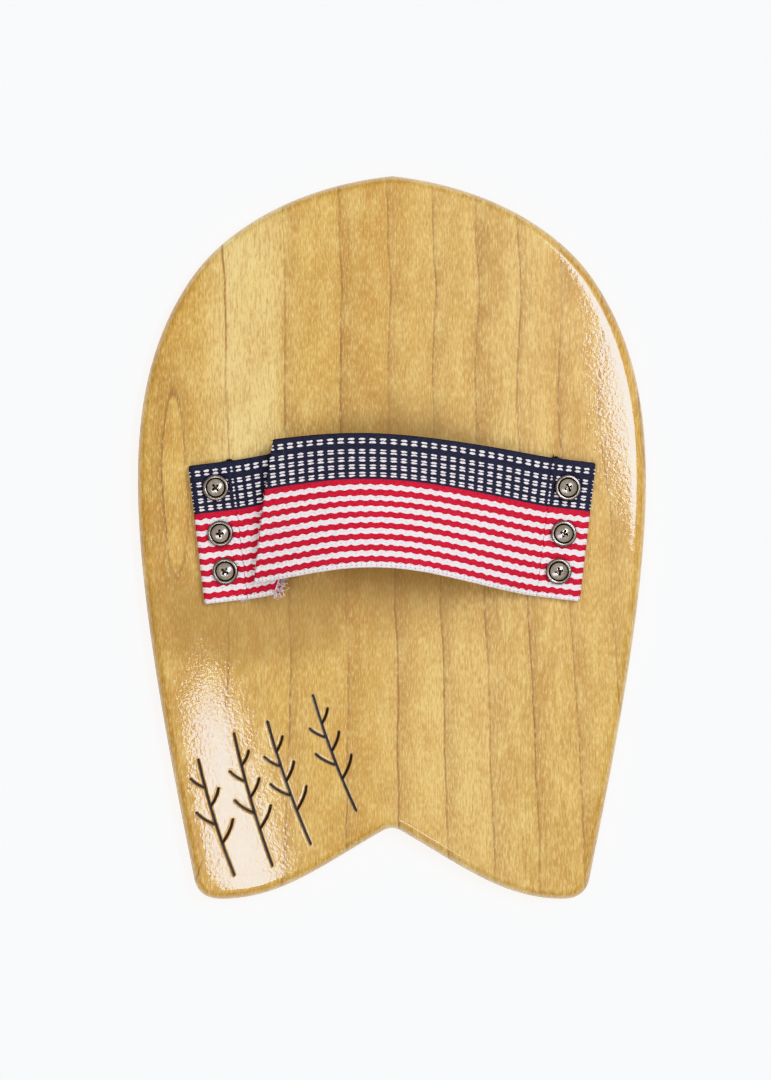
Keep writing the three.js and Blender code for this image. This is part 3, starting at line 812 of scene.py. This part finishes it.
def cross_section(columns):
    """The webbing's cut section, round both faces and the rounded selvedges: the place across, the
    height and how far each point faces up (1) or down (-1)."""
    edge = WEB_THICKNESS / 2
    flat = np.linspace(-WEB_WIDTH / 2 + edge, WEB_WIDTH / 2 - edge, columns + 1)
    turn = np.radians([60, 30, 0, -30, -60])
    tail = WEB_WIDTH / 2 - edge + edge * np.cos(turn)
    across = np.concatenate([flat, tail, flat[::-1], -tail])
    face = np.concatenate([np.ones_like(flat), np.sin(turn), -np.ones_like(flat), -np.sin(turn)])
    height = edge + edge * face
    return across, height, face


def weave_relief(along, share):
    """Height of the weave's ribs over the flat cloth: ropes for the stripes, beads for the dashes."""
    turns = 2 * math.pi * along / DASH_PERIOD
    period = (1 - NAVY_SHARE) / STRIPE_PAIRS
    phase = (share - NAVY_SHARE) / period
    scallop = phase + 0.06 * np.sin(turns)
    ropes = np.abs(np.sin(2 * math.pi * scallop)) ** 0.7
    chain = 0.8 + 0.2 * np.cos(2 * turns + math.pi * np.floor(2 * phase))
    beads = np.zeros_like(share)
    for centre in DASH_PAIRS:
        beads += np.exp(-(((share - centre) * WEB_WIDTH / 1.05) ** 2))
    column = 0.45 + 0.55 * np.cos(turns - math.pi)
    return np.where(share > NAVY_SHARE, 0.26 * ropes * chain, 0.26 * beads * column)


def webbing(name, side, length_to, half_width, drift, lift, columns=104, pitch=0.8):
    """A folded end, a screwed hem and a free length, as one closed strip of cloth.
    side is 1 for the right end and -1 for the left."""
    across, height, face = cross_section(columns)
    share = np.clip(across / WEB_WIDTH + 0.5, 0, 1)
    shift = side * drift(LIFT_X * side)
    full = RUN + FOLD + FOLD_X - side * length_to(0.5)
    rows = int(full / pitch)
    path = np.linspace(0, full, rows + 1)[:, None]
    own_end = RUN + FOLD + FOLD_X - side * length_to(share)
    free = np.clip((path - 60) / (full - 60), 0, 1)
    path = path + (own_end - full)[None, :] * free
    angle = np.clip((path - RUN) / MID_RADIUS, 0, math.pi)
    x = np.where(path < RUN, RAW_END_X + path, FOLD_X - np.maximum(0, path - RUN - FOLD))
    along = np.where(path < RUN + FOLD, path - RUN - FOLD, 0)
    upper = path >= RUN + FOLD
    along = np.where(upper, FOLD_X - x, along)
    swell = weave_relief(along, share[None, :]) * face[None, :]
    swell = swell + press_round_washers(x, across[None, :], upper, side, face[None, :])
    radius = MID_RADIUS - WEB_THICKNESS / 2 + height[None, :] + swell
    place_x = side * (x + radius * np.sin(angle))
    level = FOLD_HEIGHT - radius * np.cos(angle) + np.where(upper, lift(side * x), 0)
    wide = np.where(upper, half_width(side * x, across[None, :]) / (WEB_WIDTH / 2), 1)
    off_line = np.where(upper, drift(side * x), drift(np.array(LIFT_X * side)))
    points = band_point(place_x, across[None, :] * wide + off_line, level)
    count = len(across)
    faces = []
    for row in range(rows):
        for i in range(count):
            after = (i + 1) % count
            low = row * count
            faces.append((low + i, low + after, low + count + after, low + count + i))
    faces += end_faces(0, columns) + end_faces(rows * count, columns)
    piece = new_piece(name, points.reshape(-1, 3), faces, cloth_material)
    give_weave_map(piece, along.ravel(), np.broadcast_to(share, along.shape).ravel())
    return piece


def press_round_washers(x, across, upper, side, face):
    """The cloth swells between the washers and the seam, and is pressed down under them."""
    drift = MAIN_SHIFT if side > 0 else 0
    point = band_point(x, across + drift + 0 * x, np.full_like(x + across, HEM_TOP))
    nearest = np.full(point.shape[:-1], 1e9)
    for place in SCREW_PLACES.values():
        gap = np.hypot(point[..., 0] - place[0], point[..., 1] - place[1])
        nearest = np.minimum(nearest, gap)
    swell = 0.5 * smoothstep(nearest, 4.6, 7.5) - 0.12
    seam = 0.05 * np.exp(-(((x - HEM_STITCH_X) / 0.7) ** 2))
    fade = smoothstep(x, 57, 64)
    return np.where(upper & (face > 0), (swell - seam) * fade, 0)


def end_faces(start, columns):
    """Closes a cut end of a strip of cloth."""
    flat = columns + 1
    turn = 5
    bottom = start + flat + turn
    faces = []
    for i in range(columns):
        below = bottom + columns - i
        faces.append((start + i, start + i + 1, below - 1, below))
    tail_edge = [start + columns + k for k in range(turn + 2)]
    nose_edge = [bottom + columns + k for k in range(turn + 1)] + [start]
    return faces + [tuple(tail_edge), tuple(nose_edge)]


def give_weave_map(piece, along, share):
    """Millimetres along the cloth and the share of its width, for the weave to read."""
    layer = piece.data.uv_layers.new(name="weave")
    corners = np.empty(len(piece.data.loops), int)
    piece.data.loops.foreach_get("vertex_index", corners)
    layer.data.foreach_set("uv", np.column_stack([along[corners], share[corners]]).ravel())


def make_strap():
    main = webbing("main_webbing", 1, main_end, lambda x, across: WEB_WIDTH / 2, main_drift,
                   lambda x: main_underside(x) - UPPER_LAYER)
    tab = webbing("tab_webbing", -1, lambda share: TAB_TIP_X + 0 * share, tab_half_width,
                  lambda x: 0 * x, lambda x: 0 * x)
    for piece, body, side in ((main, "main_strap", 1), (tab, "short_tab", -1)):
        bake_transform(piece)
    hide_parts("strap_anchor_right", "main_strap")
    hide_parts("strap_anchor_left", "short_tab")
    make_fibres()
    return main, tab


def make_fibres():
    """Cut cotton ends: a fringe on the main strap's raw end, a tuft on the tab's trimmed corner, and
    nubs where the folded-under layers' corners peep out."""
    pick = random.Random(11)
    fringe = []
    for _ in range(320):
        share = pick.uniform(0.005, 0.995)
        x = main_end(share)
        root = (x + 0.3, (share - 0.5) * WEB_WIDTH + main_drift(x), main_underside(x) + pick.uniform(0.3, 1.5))
        fringe.append((root, (-1, pick.gauss(0, 0.5)), pick.uniform(0.5, 1.5), share))
    fibre_piece("raw_end_fibres", "main_strap", fringe, pick)
    tuft = []
    for _ in range(420):
        x = TAB_CORNER_TAIL_X + pick.uniform(-0.6, 3.6)
        across = float(tab_half_width(np.array(x), np.array(WEB_WIDTH / 2))) - pick.uniform(0, 2.2)
        root = (x, across, UPPER_LAYER + pick.uniform(0.4, 1.9))
        tuft.append((root, (pick.gauss(0.6, 0.6), pick.gauss(0.5, 0.5)), pick.uniform(0.6, 2.3), pick.choice((0.997, 0.997, 0.997, 0.945))))
    fibre_piece("trimmed_corner_fibres", "short_tab", tuft, pick)
    nubs = []
    for side, edge in ((1, -1), (-1, -1), (-1, 1)):
        for _ in range(60):
            x = side * (RAW_END_X + pick.uniform(0, 3))
            drift = MAIN_SHIFT if side > 0 else 0
            root = (x, edge * (WEB_WIDTH / 2 - 0.3) + drift, pick.uniform(0.8, 1.9))
            nubs.append((root, (pick.gauss(0, 0.6), edge * 0.8), pick.uniform(0.4, 1.3), 0.5 + 0.49 * edge))
    fibre_piece("folded_end_fibres", "board", nubs, pick)


def fibre_piece(name, body, fibres, pick):
    """Short curling cotton fibres, each from its root, a heading in the cloth's plane, a length and
    the share of the width whose colour it takes."""
    routes = []
    shares = []
    for root, heading, length, share in fibres:
        curl = pick.gauss(0, 0.5)
        rise = pick.gauss(0, 0.3)
        steps = []
        for t in (0, 0.35, 0.7, 1):
            out = length * t
            bend = curl * out * t
            x = root[0] + heading[0] * out - heading[1] * bend
            across = root[1] + heading[1] * out + heading[0] * bend
            steps.append(band_point(np.array(x), np.array(across), np.array(root[2] + rise * out)))
        routes.append(steps)
        shares += [share] * 4 * 3
    piece = many_wires(name, routes, 0.11, cloth_material, 3)
    give_weave_map(piece, np.zeros(len(shares)), np.array(shares))
    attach(piece, body)


# ---- Screws and cup washers


def spun(name, profile, steps, material):
    """A piece turned about +Z from (radius, height) points in millimetres."""
    mesh = bpy.data.meshes.new(name)
    points = [(radius * MM, 0, height * MM) for radius, height in profile]
    mesh.from_pydata(points, [(i, i + 1) for i in range(len(points) - 1)], [])
    piece = bpy.data.objects.new(name, mesh)
    bpy.context.collection.objects.link(piece)
    mesh.materials.append(material)
    work_on(piece)
    bpy.ops.object.mode_set(mode="EDIT")
    bpy.ops.mesh.select_all(action="SELECT")
    bpy.ops.mesh.spin(steps=steps, angle=2 * math.pi, center=(0, 0, 0), axis=(0, 0, 1))
    bpy.ops.mesh.select_all(action="SELECT")
    bpy.ops.mesh.remove_doubles(threshold=0.002 * MM)
    bpy.ops.mesh.normals_make_consistent(inside=False)
    bpy.ops.object.mode_set(mode="OBJECT")
    return piece


def arc_points(centre, radius, start, end, steps):
    """(radius, height) points round part of a circle, in degrees."""
    angles = np.radians(np.linspace(start, end, steps + 1))
    return [(centre[0] + radius * math.cos(a), centre[1] + radius * math.sin(a)) for a in angles]


def washer_master(material):
    """A raised cup washer, pressed from one thin sheet: a rolled outer rim and a countersunk seat."""
    rim = arc_points((4.6, 1.25), 0.85, 15, 160, 12)
    profile = [(5.1, 0), (5.35, 0.12), (5.32, 0.6), *rim, (3.6, 1.15), (2.4, 0.35), (2.3, 0.15)]
    profile += [(2.5, 0.02), (3.7, 0.85), (4.15, 1.45), (4.55, 1.65), (4.9, 1.4), (4.95, 0.7), (5.1, 0)]
    return spun("cup_washer_master", profile, 56, material)


def screw_master(material):
    """An oval-head wood screw with a cross recess."""
    dome_radius = (HEAD_RADIUS**2 + 1.15**2) / (2 * 1.15)
    edge_angle = math.degrees(math.acos(HEAD_RADIUS / dome_radius))
    top = 3.35
    head = arc_points((0, top - dome_radius), dome_radius, edge_angle, 90, 12)
    tip = -SCREW_LENGTH
    profile = [(0, tip), (SHANK_RADIUS * 0.5, tip + 1.5), (SHANK_RADIUS, tip + 4), (SHANK_RADIUS, top - 3.1)]
    profile += [(HEAD_RADIUS - 0.12, top - 1.4), (HEAD_RADIUS, top - 1.25), *head[:-1], (0, top)]
    screw = spun("screw_master", profile, 56, material)
    cutter = cross_cutter(top)
    cut = screw.modifiers.new("recess", "BOOLEAN")
    cut.operation = "DIFFERENCE"
    cut.object = cutter
    work_on(screw)
    bpy.ops.object.modifier_apply(modifier="recess")
    bpy.data.objects.remove(cutter)
    soften = screw.modifiers.new("soft_edges", "BEVEL")
    soften.width = 0.09 * MM
    soften.segments = 2
    soften.limit_method = "ANGLE"
    soften.angle_limit = math.radians(38)
    bpy.ops.object.modifier_apply(modifier="soft_edges")
    # Painted shade: the cross recess is darker the deeper a point lies below the dome.
    recess_shade = screw.data.attributes.new("recess_shade", "FLOAT", "POINT")
    for vertex, value in zip(screw.data.vertices, recess_shade.data):
        across = math.hypot(vertex.co.x, vertex.co.y) / MM
        surface = top - dome_radius + math.sqrt(max(0, dome_radius**2 - across**2))
        depth = surface - vertex.co.z / MM
        value.value = min(1, max(0, depth - 0.06) / 0.3) if across < 2.5 and depth < 2.5 else 0
    return screw


def cross_cutter(top):
    """The driver's shape: two crossed wedges that narrow towards their tip."""
    wings = []
    for turn in (0, 90):
        bpy.ops.mesh.primitive_cube_add(size=1, location=(0, 0, (top - 0.6) * MM), rotation=(0, 0, math.radians(turn)))
        wing = bpy.context.object
        wing.scale = (4.6 * MM, 1.25 * MM, 3.0 * MM)
        bpy.ops.object.transform_apply(location=True, rotation=True, scale=True)
        for vertex in wing.data.vertices:
            if vertex.co.z < (top - 0.7) * MM:
                vertex.co.x *= 0.4
                vertex.co.y *= 0.4
        wings.append(wing)
    join = wings[0].modifiers.new("join", "BOOLEAN")
    join.operation = "UNION"
    join.object = wings[1]
    work_on(wings[0])
    bpy.ops.object.modifier_apply(modifier="join")
    bpy.data.objects.remove(wings[1])
    return wings[0]


def make_fasteners():
    washer = washer_master(nickel_plate("nickel_plated_washer", "#7d756f", "#958d86", 0.25))
    screw = screw_master(nickel_plate("nickel_plated_screw", "#a59c94", "#bfb7ae", 0.17))
    for side_name, side in (("right", 1), ("left", -1)):
        for place, (x, y) in SCREW_PLACES.items():
            tilt = Matrix.Rotation(-math.atan(deck_slope(side * x)), 4, "Y")
            seat = Matrix.Translation(Vector((side * x, y, deck_height(x))) * MM) @ tilt
            rise = Matrix.Translation((0, 0, WASHER_BASE * MM))
            turn = Matrix.Rotation(math.radians(SCREW_TURNS[side_name][place]), 4, "Z")
            copy_fastener(washer, "cup_washer", side_name, place, seat @ rise)
            copy_fastener(screw, "screw", side_name, place, seat @ rise @ turn)
    bpy.data.objects.remove(washer)
    bpy.data.objects.remove(screw)


def copy_fastener(master, kind, side_name, place, matrix):
    piece = bpy.data.objects.new(f"{kind}_of_{side_name}_{place}", master.data.copy())
    bpy.context.collection.objects.link(piece)
    piece.data.transform(matrix)
    work_on(piece)
    bpy.ops.object.shade_smooth_by_angle(angle=math.radians(32))
    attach(piece, "board")
    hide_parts(f"{kind}_{side_name}_{place}")


# ---- Patches


def patch_grid(outer, inner, half_width, pitch):
    """Cross-line places and across places in rows, for a patch whose outer end is slanted."""
    rows = max(2, int(abs(outer(0.5) - inner) / pitch))
    columns = int(2 * half_width / pitch)
    side = np.linspace(-half_width, half_width, columns + 1)
    start = outer(0.5 + side / WEB_WIDTH)
    share = np.linspace(0, 1, rows + 1)[:, None]
    x = start[None, :] + (inner - start[None, :]) * share
    return x, np.broadcast_to(side, x.shape)


def patch_slab(name, x, side, low, high, material):
    """A closed slab of tape between two heights."""
    rows, columns = x.shape
    top = band_point(x, side, high).reshape(-1, 3)
    bottom = band_point(x, side, low).reshape(-1, 3)
    count = rows * columns
    faces = []
    for r in range(rows - 1):
        for c in range(columns - 1):
            a = r * columns + c
            quad = (a, a + 1, a + columns + 1, a + columns)
            faces.append(quad)
            faces.append(tuple(count + i for i in reversed(quad)))
    border = [c for c in range(columns)]
    border += [r * columns + columns - 1 for r in range(1, rows)]
    border += [(rows - 1) * columns + c for c in range(columns - 2, -1, -1)]
    border += [r * columns for r in range(rows - 2, 0, -1)]
    for a, b in zip(border, border[1:] + border[:1]):
        faces.append((b, a, count + a, count + b))
    return new_piece(name, np.concatenate([top, bottom]), faces, material)


def bent_wire(points, radius, sides=4):
    """A thin tube along a few points, with closed ends: its points and faces."""
    points = np.array(points, float)
    way = np.gradient(points, axis=0)
    way /= np.linalg.norm(way, axis=1)[:, None]
    helper = np.array([0.31, 0.87, 0.38])
    first = np.cross(way, helper)
    first /= np.linalg.norm(first, axis=1)[:, None]
    second = np.cross(way, first)
    rings = []
    for k in range(sides):
        angle = 2 * math.pi * k / sides
        rings.append(points + radius * (math.cos(angle) * first + math.sin(angle) * second))
    ring_points = np.stack(rings, axis=1).reshape(-1, 3)
    faces = [tuple(range(sides)), tuple(reversed(range(len(ring_points) - sides, len(ring_points))))]
    for row in range(len(points) - 1):
        for k in range(sides):
            after = (k + 1) % sides
            low = row * sides
            faces.append((low + after, low + k, low + sides + k, low + sides + after))
    return ring_points, faces


def many_wires(name, routes, radius, material, sides=4):
    """Joins many thin tubes into one piece."""
    all_points, all_faces, start = [], [], 0
    for route in routes:
        points, faces = bent_wire(route, radius, sides)
        all_points.append(points)
        all_faces += [tuple(start + i for i in face) for face in faces]
        start += len(points)
    return new_piece(name, np.concatenate(all_points), all_faces, material)


def main_patch_end(share):
    return main_end(share) + PATCH_INSET


def make_hook_patch():
    """Hook tape under the main strap: a thin tape with rows of tiny nylon hooks that point down."""
    hook_black = black_tape("black_nylon_hook_tape", 0.9, 0.5)
    x, side = patch_grid(main_patch_end, HOOK_INNER_X, HOOK_HALF_WIDTH, 1.25)
    drifted = side + main_drift(x)
    tape = patch_slab("hook_tape", x, drifted, 0 * x + HOOK_LAYER + 0.55, 0 * x + HOOK_LAYER + 0.98, hook_black)
    routes = []
    for row_x, row_side in zip(x[1:-1], drifted[1:-1]):
        for px, ps in zip(row_x[1:-1], row_side[1:-1]):
            shape = ((0, 0.6), (0, 0.25), (0.18, 0.08), (0.4, 0.12), (0.45, 0.3))
            steps = [(px + dx, ps, HOOK_LAYER + h) for dx, h in shape]
            routes.append([band_point(*(np.array(v) for v in step)) for step in steps])
    hooks = many_wires("hook_tape_hooks", routes, 0.1, hook_black, 3)
    for piece in (tape, hooks):
        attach(piece, "main_strap")
    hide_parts("hook_patch")


def make_loop_patch():
    """Loop tape on the tab: a thin tape under a brushed nap of tiny loops."""
    loop_black = black_tape("black_brushed_loop_tape", 0.6, 0.9)
    x, side = patch_grid(main_patch_end, LOOP_INNER_X, LOOP_HALF_WIDTH, 1.1)
    nap = np.random.default_rng(4).normal(0, 0.07, x.shape)
    tape = patch_slab("loop_tape", x, side, 0 * x + LOOP_LAYER, LOOP_LAYER + 0.5 + nap, loop_black)
    pick = random.Random(7)
    routes = []
    for row_x, row_side in zip(x[1:-1], side[1:-1]):
        for px, ps in zip(row_x[1:-1], row_side[1:-1]):
            turn = pick.uniform(0, 2 * math.pi)
            reach = pick.uniform(0.45, 0.75)
            peak = pick.uniform(0.8, 0.98)
            steps = []
            for k, h in enumerate((0.4, 0.8 * peak, peak, 0.8 * peak, 0.4)):
                out = (k - 2) / 2 * reach
                steps.append((px + out * math.cos(turn), ps + out * math.sin(turn), LOOP_LAYER + h))
            routes.append([band_point(*(np.array(v) for v in step)) for step in steps])
    loops = many_wires("loop_tape_loops", routes, 0.07, loop_black, 3)
    for piece in (tape, loops):
        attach(piece, "short_tab")
    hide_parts("loop_patch")


# ---- Thread


def stitch_routes(place, start, end, pitch=3.2, length=2.3):
    """Single stitches along a seam: each dives into the cloth at both ends."""
    routes = []
    for side in np.arange(start, end, pitch):
        steps = []
        for share, lift in ((0, -0.35), (0.12, 0.05), (0.5, 0.14), (0.88, 0.05), (1, -0.35)):
            here = side + share * length
            x, drift, height = place(here)
            steps.append(band_point(np.array(x), np.array(here + drift), np.array(height + lift)))
        routes.append(steps)
    return routes


def make_seams():
    thread = clear_thread()
    seams = []
    for side_name, side in (("right", 1), ("left", -1)):
        drift = MAIN_SHIFT if side > 0 else 0
        routes = stitch_routes(lambda s, side=side, drift=drift: (side * HEM_STITCH_X, drift, HEM_TOP), -26.5, 26)
        seams.append((f"hem_thread_{side_name}", routes, "board", f"hem_stitch_{side_name}"))

    def end_row(side):
        x = main_end(0.5 + side / WEB_WIDTH) + END_STITCH_INSET
        return x, main_drift(x), main_underside(x) + WEB_THICKNESS

    seams.append(("hook_patch_thread", stitch_routes(end_row, -24, 23), "main_strap", "hook_patch_stitch"))

    def tip_row(side):
        return LOOP_STITCH_X, 0, UPPER_LAYER - 0.1

    seams.append(("loop_patch_thread", stitch_routes(tip_row, -16, 15), "short_tab", "loop_patch_stitch"))
    for name, routes, body, node in seams:
        piece = many_wires(name, routes, 0.1, thread, 6)
        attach(piece, body)
        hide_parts(node)


def declare_cloth():
    """Works out the flat length of each webbing; the lengths are not used further."""
    main_length = flat_length(1, main_end(0.5))
    tab_length = flat_length(-1, TAB_TIP_X)


# ---- Run


make_camera()
make_lights()
make_floor()
make_board()
cloth_material = striped_webbing()
main_webbing, tab_webbing = make_strap()
make_fasteners()
make_hook_patch()
make_loop_patch()
make_seams()
declare_cloth()
